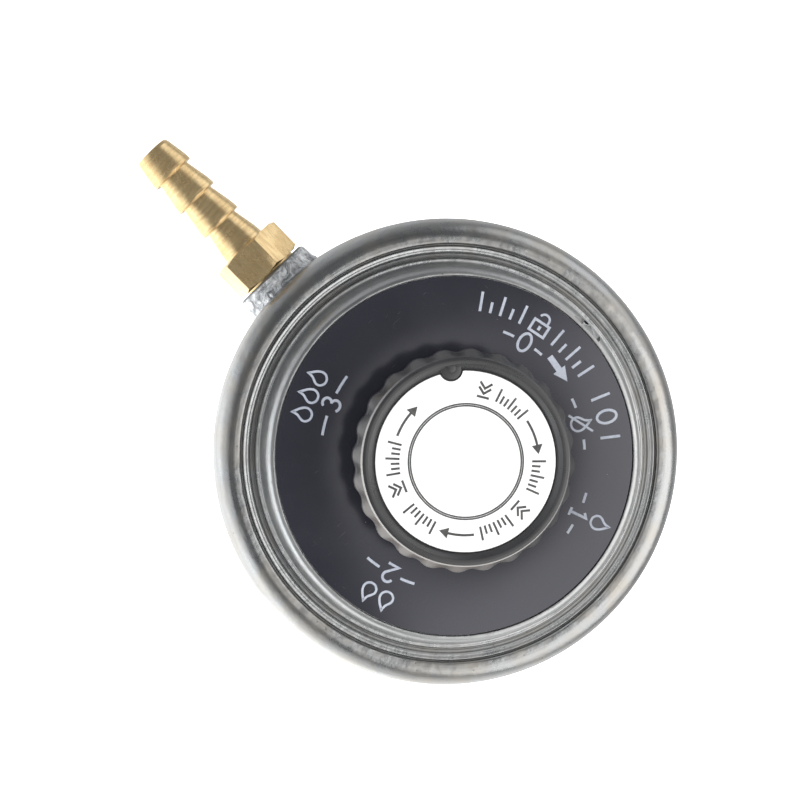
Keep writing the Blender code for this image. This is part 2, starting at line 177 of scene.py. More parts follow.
def zinc_cast(name, tone=1.0, rough=(0.30, 0.46), streak=0.0, pits=0.5, warm=0.3, grain=1.0, lump=0.35):
    """Die-cast zinc alloy: mottled, slightly pitted, with faint turned streaks."""
    s = Shade(name, Metallic=1.0)
    v = s.coords()
    blotch = s.noise(v, 190.0, 4.0, 0.6, 0.6)
    fine = s.noise(v, 2600.0, 3.0, 0.6)
    speck = s.noise(v, 6500.0, 2.0, 0.5)
    lines_v, _ = s.round_coords(2.2, 2400.0, 2000.0)
    lines = s.noise(lines_v, 1.0, 4.0, 0.65)
    cool = (0.60 * tone, 0.615 * tone, 0.625 * tone)
    sand = (0.655 * tone, 0.63 * tone, 0.585 * tone)
    dark = (0.40 * tone, 0.40 * tone, 0.40 * tone)
    base = s.mix(s.span(blotch, 0.42, 0.66, 0.0, warm), cool, sand)
    mott = s.math("ADD", s.math("MULTIPLY", fine, 0.55), s.math("MULTIPLY", speck, 0.45))
    base = s.mix(s.span(mott, 0.56, 0.72, 0.0, 0.55 * grain), base, dark)
    if streak:
        base = s.mix(s.span(lines, 0.48, 0.70, 0.0, streak), base, dark)
    pit = s.voronoi(v, 620.0)
    pit_mask = s.math(
        "MULTIPLY", s.span(pit, 0.05, 0.13, 1.0, 0.0, True), s.span(blotch, 0.50, 0.58, 0.0, pits)
    )
    base = s.mix(pit_mask, base, (0.10, 0.10, 0.10))
    r0, r1 = rough
    ro = s.math("ADD", s.span(blotch, 0.35, 0.68, r0, r1), s.math("MULTIPLY", s.math("SUBTRACT", fine, 0.5), 0.16))
    height = s.math("ADD", s.math("MULTIPLY", fine, 0.6), s.math("MULTIPLY", speck, 0.25))
    height = s.math("ADD", height, s.math("MULTIPLY", lines, 0.6 * (0.25 + streak)))
    height = s.math("SUBTRACT", height, s.math("MULTIPLY", pit_mask, 1.2))
    low = s.noise(v, 420.0, 2.0, 0.5)
    n0 = s.bump(low, lump, 0.00025)
    n1 = s.bump(height, 0.32 * grain, 0.00006, n0)
    return s.out(Base_Color=base, Roughness=ro, Normal=n1)


def zinc_rough(name, metal=0.9, tones=((0.26, 0.265, 0.28), (0.56, 0.575, 0.595), (0.82, 0.84, 0.86), (0.97, 0.98, 0.99))):
    """As-cast skin on the boss: crazed light and dark patches over a lumpy surface."""
    s = Shade(name, Metallic=metal)
    v = s.coords()
    patch = s.noise(v, 560.0, 4.0, 0.62, 1.4)
    fine = s.noise(v, 2400.0, 3.0, 0.6)
    craze = s.voronoi(v, 900.0, "DISTANCE_TO_EDGE")
    base = s.ramp(patch, list(zip((0.36, 0.47, 0.58, 0.68), tones)))
    base = s.mix(s.math("MULTIPLY", s.span(craze, 0.0, 0.09, 1.0, 0.0, True), s.span(fine, 0.45, 0.60, 0.0, 0.55)), base, (0.13, 0.135, 0.145))
    n0 = s.bump(patch, 1.0, 0.0005)
    n1 = s.bump(fine, 0.55, 0.00008, n0)
    return s.out(Base_Color=base, Roughness=s.span(fine, 0.3, 0.7, 0.30, 0.48), Normal=n1)


def brass_metal(name, x_axis=True, hexagon=False):
    s = Shade(name, Metallic=0.88)
    v = s.coords()
    blotch = s.noise(v, 260.0, 3.0, 0.55, 0.4)
    fine = s.noise(v, 4200.0, 2.0, 0.5)
    if hexagon:
        lines = s.noise(s.scaled(v, (420.0, 2300.0, 2300.0)), 1.0, 2.0, 0.6)
    else:
        lv, _ = s.round_coords(1.4, 1500.0, 2500.0, x_axis)
        lines = s.noise(lv, 1.0, 3.0, 0.6)
    base = s.mix(s.span(blotch, 0.35, 0.68, 0.0, 1.0), (0.90, 0.695, 0.385), (0.80, 0.59, 0.305))
    base = s.mix(s.span(fine, 0.60, 0.74, 0.0, 0.35), base, (0.55, 0.36, 0.15))
    ro = s.math("ADD", s.span(blotch, 0.3, 0.7, 0.15, 0.27), s.math("MULTIPLY", lines, 0.06))
    h = s.math("ADD", s.math("MULTIPLY", lines, 0.8), s.math("MULTIPLY", fine, 0.3))
    base = s.mix(s.span(lines, 0.42, 0.62, 0.0, 0.55), base, (0.62, 0.43, 0.21))
    return s.out(Base_Color=base, Roughness=ro, Normal=s.bump(h, 0.42, 0.00009))


def moulded(name, colour, rough=(0.33, 0.45), grain=0.25, spec=0.5, dust=0.0, painted_light=None):
    s = Shade(name, Metallic=0.0, Specular_IOR_Level=spec)
    v = s.coords()
    blotch = s.noise(v, 170.0, 3.0, 0.5)
    fine = s.noise(v, 5200.0, 2.0, 0.5)
    lighter = tuple(min(1.0, c * 1.35 + 0.004) for c in colour)
    base = s.mix(s.span(blotch, 0.35, 0.7, 0.0, 0.8), colour, lighter)
    if dust:
        d = s.voronoi(v, 950.0)
        m = s.math("MULTIPLY", s.span(d, 0.03, 0.07, 1.0, 0.0, True), s.span(s.noise(v, 420.0, 1.0, 0.5), 0.60, 0.66, 0.0, dust))
        base = s.mix(m, base, (0.42, 0.43, 0.46))
    if painted_light:
        # painted light: paler towards the knob's lit side, fading round it: (direction, from cosine, to cosine, colour)
        where, lo, hi, pale = painted_light
        x, y, _z = s.node("ShaderNodeSeparateXYZ", None, i0=v).outputs
        r = s.math("MAXIMUM", s.math("SQRT", s.math("ADD", s.math("MULTIPLY", x, x), s.math("MULTIPLY", y, y))), 1e-5)
        along = s.math("ADD", s.math("MULTIPLY", x, math.cos(where)), s.math("MULTIPLY", y, math.sin(where)))
        along = s.math("ADD", s.math("DIVIDE", along, r), s.math("MULTIPLY", s.math("SUBTRACT", s.noise(v, 520.0, 3.0, 0.6), 0.5), 0.35))
        base = s.mix(s.span(along, lo, hi, 0.0, 1.0, True), base, pale)
    ro = s.math("ADD", s.span(blotch, 0.3, 0.7, rough[0], rough[1]), s.math("MULTIPLY", s.math("SUBTRACT", fine, 0.5), 0.08))
    return s.out(Base_Color=base, Roughness=ro, Normal=s.bump(fine, grain, 0.00003))


def label_film(name):
    """Glossy black printed film, faintly orange-peeled, with hairline rubs."""
    s = Shade(name, Metallic=0.0, Specular_IOR_Level=0.9, Specular_Tint=(0.92, 0.93, 1.0))
    v = s.coords()
    blotch = s.noise(v, 90.0, 3.0, 0.5)
    rub_v = s.scaled(v, (260.0, 2600.0, 1.0))
    rub = s.noise(rub_v, 1.0, 3.0, 0.6, 0.3)
    rub2 = s.noise(s.scaled(v, (3100.0, 300.0, 1.0)), 1.0, 2.0, 0.6, 0.4)
    fine = s.noise(v, 3800.0, 2.0, 0.5)
    base = s.mix(s.span(blotch, 0.3, 0.7, 0.0, 1.0), (0.0195, 0.020, 0.027), (0.0225, 0.023, 0.031))
    hair = s.math("MAXIMUM", s.span(rub, 0.69, 0.74, 0.0, 1.0), s.span(rub2, 0.71, 0.75, 0.0, 1.0))
    base = s.mix(s.math("MULTIPLY", hair, 0.18), base, (0.09, 0.09, 0.10))
    d = s.voronoi(v, 700.0)
    m = s.math("MULTIPLY", s.span(d, 0.025, 0.055, 1.0, 0.0, True), s.span(s.noise(v, 330.0, 1.0, 0.5), 0.62, 0.68, 0.0, 0.8))
    base = s.mix(m, base, (0.35, 0.36, 0.40))
    ro = s.math("ADD", s.span(blotch, 0.3, 0.7, 0.17, 0.23), s.math("MULTIPLY", hair, 0.1))
    return s.out(Base_Color=base, Roughness=ro, Normal=s.bump(fine, 0.05, 0.00002))


def ink(name, colour, other):
    s = Shade(name, Metallic=0.0)
    v = s.coords()
    a = s.noise(v, 2400.0, 3.0, 0.6)
    b = s.noise(v, 300.0, 2.0, 0.5)
    f = s.math("ADD", s.math("MULTIPLY", a, 0.6), s.math("MULTIPLY", b, 0.4))
    base = s.mix(s.span(f, 0.40, 0.62, 0.0, 1.0), colour, other)
    return s.out(Base_Color=base, Roughness=s.span(b, 0.3, 0.7, 0.38, 0.5), Normal=s.bump(a, 0.12, 0.00002))


def cap_paper(name):
    s = Shade(name, Metallic=0.0, Specular_IOR_Level=0.5)
    v = s.coords()
    a = s.noise(v, 260.0, 2.0, 0.5)
    f = s.noise(v, 4200.0, 2.0, 0.5)
    base = s.mix(s.span(a, 0.35, 0.65, 0.0, 1.0), (0.925, 0.93, 0.935), (0.94, 0.945, 0.945))
    return s.out(Base_Color=base, Roughness=s.span(a, 0.3, 0.7, 0.26, 0.34), Normal=s.bump(f, 0.06, 0.00002))


def turned_steel(name, colour, rough=(0.25, 0.38), up=5200.0):
    s = Shade(name, Metallic=1.0)
    lv, _ = s.round_coords(1.5, 5200.0, up)
    lines = s.noise(lv, 1.0, 3.0, 0.6)
    v = s.coords()
    blotch = s.noise(v, 300.0, 3.0, 0.5)
    darker = tuple(c * 0.8 for c in colour)
    base = s.mix(s.span(blotch, 0.35, 0.7, 0.0, 1.0), colour, darker)
    ro = s.math("ADD", s.span(blotch, 0.3, 0.7, rough[0], rough[1]), s.math("MULTIPLY", lines, 0.08))
    return s.out(Base_Color=base, Roughness=ro, Normal=s.bump(lines, 0.2, 0.00005))


def soft_rubber(name):
    s = Shade(name, Metallic=0.0, Specular_IOR_Level=0.35)
    v = s.coords()
    a = s.noise(v, 700.0, 3.0, 0.6)
    f = s.noise(v, 5200.0, 2.0, 0.5)
    base = s.mix(s.span(a, 0.35, 0.65, 0.0, 1.0), (0.018, 0.018, 0.018), (0.034, 0.033, 0.032))
    return s.out(Base_Color=base, Roughness=s.span(a, 0.3, 0.7, 0.55, 0.75), Normal=s.bump(f, 0.25, 0.00004))


ZINC_RIM = zinc_cast("zinc_rolled", 0.76, (0.26, 0.36), 0.55, 0.5, 0.95, 1.0)
ZINC_CAST = zinc_cast("zinc_cast", 0.85, (0.36, 0.50), 0.12, 0.75, 0.35, 1.2)
ZINC_HAT = zinc_cast("zinc_shoulder", 0.88, (0.36, 0.48), 0.10, 0.45, 0.12, 2.0)
# brighter, smoother copy of the cast finish for the bonnet's lip, bead and second ring: painted highlight
ZINC_HIGHLIGHT = zinc_cast("zinc_painted_highlight", 1.02, (0.24, 0.34), 0.30, 0.3, 0.25, 0.9)
# darker copy of the cast finish for the grooves, the vent hole and one notch wall: painted shade in the recesses
ZINC_GROOVE_SHADE = zinc_cast("zinc_groove_shade", 0.58, (0.38, 0.5), 0.5, 0.5, 0.6, 0.8)
ZINC_BOSS = zinc_rough("zinc_boss")
# near-white, less metallic copy for the notch's floor: painted highlight
ZINC_LIT_FACET = zinc_rough("zinc_lit_facet", 1.0, ((0.74, 0.76, 0.77), (0.86, 0.88, 0.89), (0.94, 0.95, 0.95), (0.97, 0.97, 0.97)))
ZINC_SHADE = zinc_cast("zinc_shade", 0.42, (0.42, 0.55), 0.2, 0.6, 0.1, 1.2)
BRASS = brass_metal("brass_turned")
BRASS_HEX = brass_metal("brass_hexagon", hexagon=True)
BRASS_Z = brass_metal("brass_inner", x_axis=False)
KNOB = moulded("knob_plastic", (0.019, 0.0195, 0.0215), (0.26, 0.34), 0.18, 0.95, 0.5)
# direction of the knob's lit side; the skirt and the edge band are painted paler towards it (painted highlight)
LIGHT_SIDE = math.radians(108.0)
# skirt: dusty black plastic, painted paler towards the lit side (painted highlight)
SKIRT = moulded("knob_skirt", (0.020, 0.020, 0.022), (0.30, 0.40), 0.25, 1.0, 0.6, (LIGHT_SIDE, 0.30, 1.0, (0.115, 0.105, 0.098)))
# ring's outer edge band: slightly paler plastic all round, painted much paler towards the lit side (painted highlight)
EDGE = moulded("knob_edge", (0.030, 0.030, 0.033), (0.30, 0.40), 0.25, 1.0, 0.0, (LIGHT_SIDE, -0.75, 0.75, (0.40, 0.385, 0.37)))
LABEL = label_film("dial_film")
CAP = cap_paper("cap_film")
INK_LIGHT = ink("print_pale", (0.48, 0.515, 0.585), (0.38, 0.41, 0.49))
INK_DARK = ink("print_grey", (0.052, 0.054, 0.052), (0.095, 0.097, 0.095))
RUBBER = soft_rubber("black_rubber")
STEEL = turned_steel("bright_steel", (0.62, 0.62, 0.63))
SPRING = turned_steel("spring_wire", (0.42, 0.42, 0.45), (0.22, 0.34))
BRONZE = brass_metal("sintered_bronze", x_axis=False)
NYLON = moulded("nylon_white", (0.72, 0.70, 0.62), (0.42, 0.52), 0.15, 0.4)


# ================================================================== mesh kit
def rounded(points, arc=5):
    """(r, z) or (r, z, fillet) points, with arcs put in at the filleted corners."""
    out = []
    n = len(points)
    for i, p in enumerate(points):
        q = np.array(p[:2], float)
        rad = p[2] if len(p) > 2 else 0.0
        if rad <= 0 or i in (0, n - 1):
            out.append(q)
            continue
        a = np.array(points[i - 1][:2], float) - q
        b = np.array(points[i + 1][:2], float) - q
        la, lb = np.linalg.norm(a), np.linalg.norm(b)
        a, b = a / la, b / lb
        half = math.acos(max(-1, min(1, float(a @ b)))) / 2
        if half > PI / 2 - 0.02:
            out.append(q)
            continue
        d = min(rad / math.tan(half), 0.48 * la, 0.48 * lb)
        rr = d * math.tan(half)
        mid = (a + b) / np.linalg.norm(a + b)
        c = q + mid * (rr / math.sin(half))
        p0, p1 = q + a * d, q + b * d
        a0 = math.atan2(*(p0 - c)[::-1])
        a1 = math.atan2(*(p1 - c)[::-1])
        while a1 - a0 > PI:
            a1 -= 2 * PI
        while a1 - a0 < -PI:
            a1 += 2 * PI
        for k in range(arc + 1):
            t = a0 + (a1 - a0) * k / arc
            out.append(c + rr * np.array([math.cos(t), math.sin(t)]))
    return np.array(out)


def smooth_curve(points, per=4):
    """A Catmull-Rom curve through (r, z) points."""
    p = np.array(points, float)
    q = np.vstack([2 * p[0] - p[1], p, 2 * p[-1] - p[-2]])
    out = []
    for i in range(1, len(q) - 2):
        a, b, c, d = q[i - 1], q[i], q[i + 1], q[i + 2]
        for k in range(per):
            t = k / per
            out.append(0.5 * (2 * b + (c - a) * t + (2 * a - 5 * b + 4 * c - d) * t * t + (3 * b - a - 3 * c + d) * t ** 3))
    out.append(p[-1])
    return np.array(out)


def new_object(name, mesh, mats=()):
    obj = bpy.data.objects.new(name, mesh)
    bpy.context.scene.collection.objects.link(obj)
    for m in mats:
        mesh.materials.append(m)
    return obj


def lathe(name, profile, segs, mats, zones=None, closed=True, shape=None, x_axis=False):
    """Turns a profile of (r, z) in mm.  shape(r, z, angle) may return a changed (r, z).

    zones: list of (test(r, z), material index), tried at each strip's middle."""
    prof = [tuple(p) for p in profile]
    keep = [prof[0]]
    for p in prof[1:]:
        if math.hypot(p[0] - keep[-1][0], p[1] - keep[-1][1]) > 1e-4:
            keep.append(p)
    if closed and math.hypot(keep[0][0] - keep[-1][0], keep[0][1] - keep[-1][1]) < 1e-4:
        keep.pop()
    prof = keep
    area = sum(a[0] * b[1] - b[0] * a[1] for a, b in zip(prof, prof[1:] + prof[:1]))
    if area < 0:
        prof = prof[::-1]
    # counter-clockwise in (r, z): the outward normal is to the right of travel
    verts, rows = [], []
    for r, z in prof:
        if r < 1e-6:
            rows.append([len(verts)] * segs)
            verts.append((0.0, 0.0, z * MM))
            continue
        row = []
        for s in range(segs):
            a = 2 * PI * s / segs
            rr, zz = shape(r, z, a) if shape else (r, z)
            row.append(len(verts))
            verts.append((rr * math.cos(a) * MM, rr * math.sin(a) * MM, zz * MM))
        rows.append(row)
    faces, index = [], []
    count = len(prof)
    pairs = [(i, (i + 1) % count) for i in range(count if closed else count - 1)]
    for i, j in pairs:
        a, b = rows[i], rows[j]
        if prof[i][0] < 1e-6 and prof[j][0] < 1e-6:
            continue
        mr, mz = (prof[i][0] + prof[j][0]) / 2, (prof[i][1] + prof[j][1]) / 2
        mi = 0
        for test, which in zones or ():
            if test(mr, mz):
                mi = which
                break
        for s in range(segs):
            t = (s + 1) % segs
            f = [a[s], a[t], b[t], b[s]]
            f = [v for k, v in enumerate(f) if v not in f[:k]]
            if len(f) >= 3:
                faces.append(f)
                index.append(mi)
    mesh = bpy.data.meshes.new(name)
    mesh.from_pydata(verts, [], faces)
    mesh.polygons.foreach_set("material_index", index)
    mesh.shade_smooth()
    mesh.update()
    if x_axis:
        mesh.transform(Matrix.Translation((0, 0, OUTLET_Z * MM)) @ Matrix.Rotation(PI / 2, 4, "Y"))
    return new_object(name, mesh, mats)


def box_mesh(name, lo, hi, matrix=Matrix.Identity(4), bevel=0.0, steps=3):
    bm = bmesh.new()
    bmesh.ops.create_cube(bm, size=1.0)
    bmesh.ops.scale(bm, verts=bm.verts, vec=[(b - a) * MM for a, b in zip(lo, hi)])
    bmesh.ops.translate(bm, verts=bm.verts, vec=[(a + b) / 2 * MM for a, b in zip(lo, hi)])
    if bevel:
        bmesh.ops.bevel(bm, geom=bm.edges[:], offset=bevel * MM, segments=steps, profile=0.5, affect="EDGES", clamp_overlap=True)
    bmesh.ops.transform(bm, matrix=matrix, verts=bm.verts)
    mesh = bpy.data.meshes.new(name)
    bm.to_mesh(mesh)
    bm.free()
    return new_object(name, mesh)


def boolean(obj, other, op):
    """Joins or cuts for good, then drops the tool."""
    mod = obj.modifiers.new("b", "BOOLEAN")
    mod.operation = op
    mod.solver = "EXACT"
    mod.object = other
    mod.material_mode = "TRANSFER"
    bpy.context.view_layer.update()
    graph = bpy.context.evaluated_depsgraph_get()
    mesh = bpy.data.meshes.new_from_object(obj.evaluated_get(graph))
    obj.modifiers.clear()
    old = obj.data
    obj.data = mesh
    bpy.data.meshes.remove(old)
    bpy.data.objects.remove(other, do_unlink=True)
    return obj


def finish_smooth(obj, degrees=32.0):
    obj.data.shade_smooth()
    obj.data.set_sharp_from_angle(angle=math.radians(degrees))
    return obj


def piece(obj, body, slot, *nodes):
    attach(obj, body)
    if nodes:
        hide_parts(*nodes)
    return obj


def wobble(a, k, seed):
    """A slow, repeatable waviness round the axis, about -1 to 1."""
    return 0.5 * math.sin(k * a + seed) + 0.3 * math.sin((2 * k + 1) * a + 2.3 * seed) + 0.2 * math.sin((3 * k + 2) * a + 4.1 * seed)


SEG = 288

# ======================================================================= body
outer = smooth_curve(
    [(33.72, 28.06), (33.77, 28.20), (33.92, 28.29), (34.4, 28.33), (35.0, 28.32), (35.7, 28.12), (36.35, 27.72),
     (36.95, 27.12), (37.42, 26.35), (37.75, 25.5), (37.93, 24.6), (BODY_R, 23.7), (BODY_R, 22.7),
     (37.92, 22.1), (37.65, 21.55), (37.15, 21.1), (36.4, 20.78), (35.5, 20.5), (34.7, 20.15),
     (34.1, 19.6), (33.75, 18.9), (33.5, 17.9), (33.1, 16.8), (32.4, 15.8), (31.4, 15.05),
     (30.1, 14.6), (28.5, 14.35)], 4)
lower = rounded(
    [(28.5, 14.35), (20.9, 13.72, 0.0), (17.3, 13.3, 2.2), (16.62, 11.0, 1.2), (16.5, 4.0, 0.0), (16.5, 0.02, 0.7),
     (13.1, 0.02, 0.15), (12.35, 0.85, 0.1), (12.35, 0.95)], 6)
inner = [(12.95, 12.55), (4.6, 12.55), (4.6, 17.4), (7.5, 17.4), (8.6, 16.3), (27.8, 16.3), (29.5, 17.8),
         (29.6, 22.6), (30.1, 23.15), (36.0, 23.15), (36.0, 27.08), (33.75, 27.08), (33.70, 27.2), (33.70, 27.95)]


def body_shape(r, z, a):
    if r > 33.9 and z > 19.0:
        f = 0.035 * wobble(a, 3, 1.7)
        if z > 26.5 and r < 35.5:
            z = z + 0.04 * wobble(a, 5, 0.4)
        r = min(r + f * (1.0 if r < 37.8 else 0.0), BODY_R)
    return r, z


# the socket wall is its own fine grid: thread flanks over (angle, height)
wall_z = np.linspace(0.95, 12.55, 104)
body_profile = list(map(tuple, outer)) + list(map(tuple, lower)) + [(12.5, z) for z in wall_z[1:-1]] + inner
body_profile = [(r, z) for r, z in body_profile]
PITCH = 1.27


def body_final(r, z, a):
    if abs(r - 12.5) < 1e-6 and 0.9 < z < 12.5:
        t = (z / PITCH - a / (2 * PI)) % 1.0
        tri = abs(2 * t - 1)
        v = min(max((tri - 0.15) / 0.7, 0.0), 1.0)
        fade = min(1.0, max(0.0, (z - 0.95) / 1.2)) * min(1.0, max(0.0, (12.3 - z) / 1.5))
        return 12.25 + 0.55 * v * fade, z
    return body_shape(r, z, a)


def rim_zone(r, z):
    return r > 33.72 and z > 20.4


# the rim's inner groove takes the darker copy: painted shade
def groove_zone(r, z):
    return 33.6 < r < 33.73 and z > 27.0 and z < 27.95


body = lathe(
    "body_shell", body_profile, SEG, [ZINC_CAST, ZINC_RIM, ZINC_GROOVE_SHADE],
    [(groove_zone, 2), (rim_zone, 1)], shape=body_final,
)

# outlet boss with a small flare where it leaves the rim
boss_pts = [(0.0, BOSS_X - 0.02), (6.95, BOSS_X - 0.02, 1.0), (7.0, 38.9, 0.0), (7.02, 38.5), (7.12, 38.1), (7.35, 37.7),
            (7.35, 36.6), (6.8, 35.5), (6.8, 31.0), (0.0, 31.0)]
boss = lathe("boss", rounded(boss_pts, 7), 96, [ZINC_BOSS, ZINC_SHADE], [(lambda r, z: z > BOSS_X - 0.30, 1)], closed=False, x_axis=True,
             shape=lambda r, z, a: (r + (0.05 * wobble(a, 3, 0.9) if r > 5 else 0.0), z))
for vert in boss.data.vertices:
    if vert.co.x < 35.6 * MM:
        vert.co.z = min(vert.co.z, 22.5 * MM)
boolean(body, boss, "UNION")

# webs under the bowl
for deg in (60.0, 120.0, 180.0, 240.0, 300.0):
    web = box_mesh("web", (15.7, -1.05, 4.6), (29.2, 1.05, 15.0))
    for vert in web.data.vertices:
        if vert.co.z < 10 * MM and vert.co.x > 20 * MM:
            vert.co.z = 13.0 * MM
        if vert.co.z < 14 * MM:
            vert.co.y *= 0.8
    bm = bmesh.new()
    bm.from_mesh(web.data)
    bmesh.ops.bevel(bm, geom=[e for e in bm.edges], offset=0.3 * MM, segments=3, profile=0.5, affect="EDGES", clamp_overlap=True)
    bm.to_mesh(web.data)
    bm.free()
    web.data.transform(Matrix.Rotation(math.radians(deg), 4, "Z"))
    web.data.materials.append(ZINC_CAST)
    boolean(body, web, "UNION")

# ejector pin marks on the bowl's underside
for deg in (30.0, 90.0, 150.0, 210.0, 270.0, 330.0):
    c = Vector((25.2 * math.cos(math.radians(deg)), 25.2 * math.sin(math.radians(deg)), 14.05)) * MM
    pin = lathe("ejector", [(0.0, -0.55), (2.0, -0.55), (2.2, -0.4), (2.2, 1.0), (0.0, 1.0)], 32, [ZINC_CAST], closed=False)
    pin.data.transform(Matrix.Translation(c))
    boolean(body, pin, "UNION")

# drilled outlet: thread bore in the boss
bore = lathe("bore", [(0.0, 45.0), (4.95, 45.0), (4.95, 33.4), (0.0, 33.4)], 64, [ZINC_CAST], closed=False, x_axis=True)
boolean(body, bore, "DIFFERENCE")
finish_smooth(body, 38.0)
piece(body, "housing", "cast_alloy", "body")

# ===================================================================== bonnet
Z0 = LABEL_TOP
bonnet_profile = rounded(
    [(3.65, 37.6), (11.9, 37.6, 0.4), (12.45, 37.1, 0.4), (12.45, 33.5, 0.5), (28.42, 33.5, 0.03), (28.46, 34.02, 0.07),
     (28.72, 34.02, 0.2), (29.12, 33.86, 0.5), (29.48, 33.46, 0.6), (29.76, 32.80, 0.8), (29.98, 31.9, 1.0), (30.18, 30.8, 1.5),
     (30.40, 29.55, 0.8), (30.58, 28.75, 0.4), (30.76, 28.22, 0.18), (31.24, 28.285, 0.12), (31.42, 27.80, 0.1), (31.52, 27.54, 0.05),
     (31.66, 27.50, 0.03), (31.74, 27.60, 0.03), (31.82, 27.52, 0.03), (32.16, 27.50, 0.08), (32.32, 27.80, 0.10), (32.50, 27.90, 0.08),
     (32.74, 27.925, 0.02), (32.81, 27.85, 0.02), (32.88, 27.935, 0.02), (33.22, 27.99, 0.10), (33.42, 27.80, 0.06), (33.50, 27.64, 0.04), (33.66, 27.64, 0.02),
     (33.68, 26.92, 0.0), (35.8, 26.92), (35.8, 24.9), (29.8, 24.9), (29.2, 25.5), (28.6, 30.2), (27.6, 31.3), (12.5, 31.3),
     (12.5, 29.0), (10.05, 29.0), (10.05, 35.9), (3.65, 35.9), (3.65, 37.6)], 5)


def bonnet_shape(r, z, a):
    if r > 28.6 and r < 31.2 and z > 31.0:
        k = 0.030 * wobble(a, 7, 0.3) + 0.02 * wobble(a, 17, 2.1)
        return r + k, z + 0.6 * k
    if 28.4 < r <= 28.6:
        return r + 0.012 * wobble(a, 11, 1.1), z
    return r, z


# zones: darker copy in the grooves (painted shade), shoulder finish on the cone top, brighter copy on the bead, the
# second ring and the lip (painted highlight)
bonnet = lathe(
    "bonnet_shell", bonnet_profile, SEG, [ZINC_CAST, ZINC_HAT, ZINC_HIGHLIGHT, ZINC_GROOVE_SHADE],
    [
        (lambda r, z: 31.46 < r < 32.2 and 27.3 < z < 27.7, 3),
        (lambda r, z: 33.36 < r < 33.8 and 26.9 < z < 27.75, 3),
        (lambda r, z: 28.60 < r < 30.55 and z > 29.0, 1),
        (lambda r, z: 30.3 <= r < 31.46 and 27.4 < z < 29.2, 2),
        (lambda r, z: 32.1 < r < 33.5 and 27.4 < z < 28.4, 2),
        (lambda r, z: 28.4 < r <= 28.60 and z > 33.6, 2),
    ],
    shape=bonnet_shape,
)

# breather notch: a chisel-like cut through the shoulder, with its vent hole
rot = Matrix.Rotation(VENT, 4, "Z")
wedge = bpy.data.meshes.new("wedge")
w = [(28.80, 4.9, 35.0), (28.86, -3.0, 35.0), (32.2, -3.2, 35.0), (32.2, 5.3, 35.0),
     (28.95, 1.15, 32.65), (28.95, -2.15, 33.10), (32.2, -2.35, 29.6), (32.2, 0.9, 29.0)]
wedge.from_pydata([(x * MM, y * MM, z * MM) for x, y, z in w], [],
                  [(0, 1, 2, 3), (4, 6, 5), (4, 7, 6), (0, 4, 5), (0, 5, 1), (1, 5, 6), (1, 6, 2), (2, 6, 7), (2, 7, 3), (3, 7, 4), (3, 4, 0)])
# the notch's faces get lit and shaded copies of the zinc: near-white and brighter ones on the floor and inner end
# (painted highlight), dark ones on the side walls (painted shade)
for k, face in enumerate(wedge.polygons):
    face.material_index = {9: 1, 10: 1, 5: 2, 6: 2, 1: 3, 3: 3, 4: 3}.get(k, 0)
wedge.transform(rot)
bm = bmesh.new()
bm.from_mesh(wedge)
bmesh.ops.recalc_face_normals(bm, faces=bm.faces[:])
bm.to_mesh(wedge)
bm.free()
tool = new_object("wedge", wedge, [ZINC_LIT_FACET, ZINC_SHADE, ZINC_GROOVE_SHADE, ZINC_HIGHLIGHT])
boolean(bonnet, tool, "DIFFERENCE")
hole = lathe("hole", [(0.0, 2.5), (0.5, 2.5), (0.5, -3.5), (0.0, -3.5)], 24, [ZINC_GROOVE_SHADE], closed=False)
hole.data.transform(rot @ Matrix.Translation((30.05 * MM, 0.75 * MM, 31.6 * MM)) @ Matrix.Rotation(math.radians(55.0), 4, "Y"))
boolean(bonnet, hole, "DIFFERENCE")
finish_smooth(bonnet, 34.0)
piece(bonnet, "housing", "cast_alloy", "bonnet")

# ================================================================== dial label
label = lathe(
    "dial_film", rounded([(13.25, 33.56), (13.25, Z0, 0.05), (28.30, Z0, 0.08), (28.30, 33.56), (13.25, 33.56)], 3),
    SEG, [LABEL],
)
finish_smooth(label, 50.0)
piece(label, "housing", "dial_black", "dial_label")


